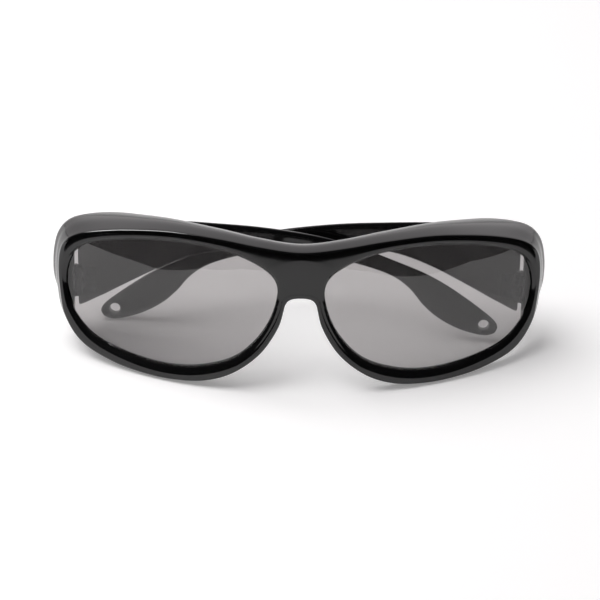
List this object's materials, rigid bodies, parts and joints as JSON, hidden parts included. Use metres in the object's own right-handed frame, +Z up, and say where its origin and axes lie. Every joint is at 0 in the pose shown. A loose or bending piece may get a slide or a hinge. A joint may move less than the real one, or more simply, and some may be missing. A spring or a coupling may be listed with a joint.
{
  "type": "laser safety goggles",
  "caption": "Wrap-around safety goggles worn over spectacles: one moulded front with tinted lenses, brow shield and side walls, and temples folding on barrel hinges.",
  "frame": {"origin": "on the table, under the middle of the folded goggles", "axes": "front faces -Y and leans back, +X is the viewer's right and the wearer's left, +Z is up. Nodes named left are at -X, as the picture shows them"},
  "size_m": [0.1504, 0.0448, 0.0471],
  "materials": {
    "plastic": "glossy injection moulding with fine handling marks",
    "lens": "polished neutral grey tint, see-through",
    "steel": "black-coated steel, satin"
  },
  "bodies": {
    "front": {"front_frame": "plastic", "lens_left": "lens", "lens_right": "lens", "front_hinge_leaf_left": "steel", "front_hinge_leaf_right": "steel", "hinge_screw_left": "steel", "hinge_screw_right": "steel", "front_leaf_rivets_left": "steel", "front_leaf_rivets_right": "steel"},
    "temple_left": {"temple_left": "plastic", "temple_hinge_leaf_left": "steel", "temple_leaf_rivets_left": "steel"},
    "temple_right": {"temple_right": "plastic", "temple_hinge_leaf_right": "steel", "temple_leaf_rivets_right": "steel"}
  },
  "joints": [
    {"name": "left_fold", "type": "hinge", "parent": "front", "child": "temple_left", "pos_m": [-0.0675, 0.0105, 0.01699], "axis": [0, 0.2271, 0.9739], "range_deg": [0, 90]},
    {"name": "right_fold", "type": "hinge", "parent": "front", "child": "temple_right", "pos_m": [0.0675, 0.0105, 0.01699], "axis": [0, -0.2271, -0.9739], "range_deg": [0, 85.5]}
  ]
}
